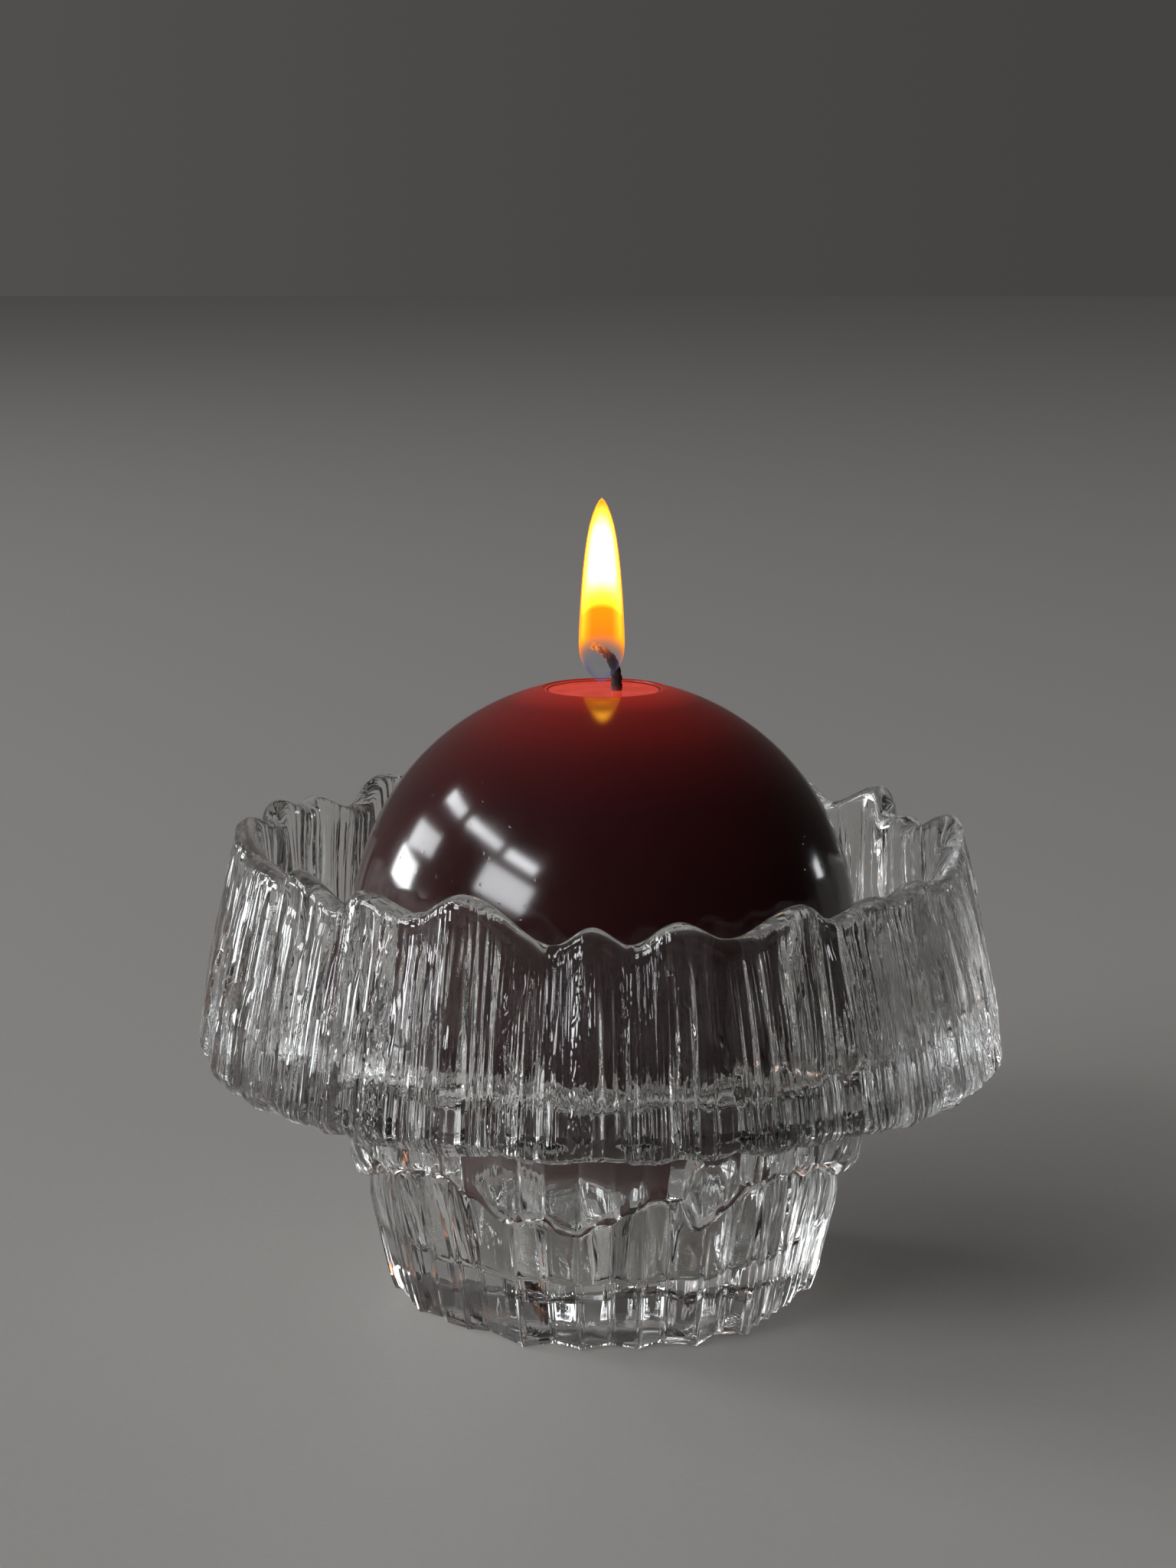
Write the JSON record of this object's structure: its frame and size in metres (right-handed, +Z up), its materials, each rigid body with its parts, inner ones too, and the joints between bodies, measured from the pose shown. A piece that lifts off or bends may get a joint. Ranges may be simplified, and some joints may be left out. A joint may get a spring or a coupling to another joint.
{
  "type": "glass candlestick",
  "caption": "Pressed-glass candlestick with a wavy, bark-textured crown on a panelled foot, holding a dark red ball candle with a burning wick.",
  "frame": {"origin": "centre of the foot, on the surface that the candlestick stands on", "axes": "+Z up through the wick, -Y to the front, +X to the right; the object is round, so front is only the side first looked at"},
  "size_m": [0.128, 0.1283, 0.1269],
  "materials": {
    "glass": "polished",
    "wax_coat": "gloss",
    "wax_core": "satin",
    "melted_wax": "polished",
    "wick_cotton": "matte",
    "flame_gas": "matte"
  },
  "bodies": {
    "holder": {"glass_holder": "glass"},
    "candle": {"candle_coat": "wax_coat", "candle_core": "wax_core", "melt_pool": "melted_wax", "wick": "wick_cotton", "flame": "flame_gas"}
  },
  "joints": [
    {"name": "candle_lift", "type": "slide", "parent": "holder", "child": "candle", "axis": [0, 0, 1], "range_m": [0, 0.065]}
  ]
}
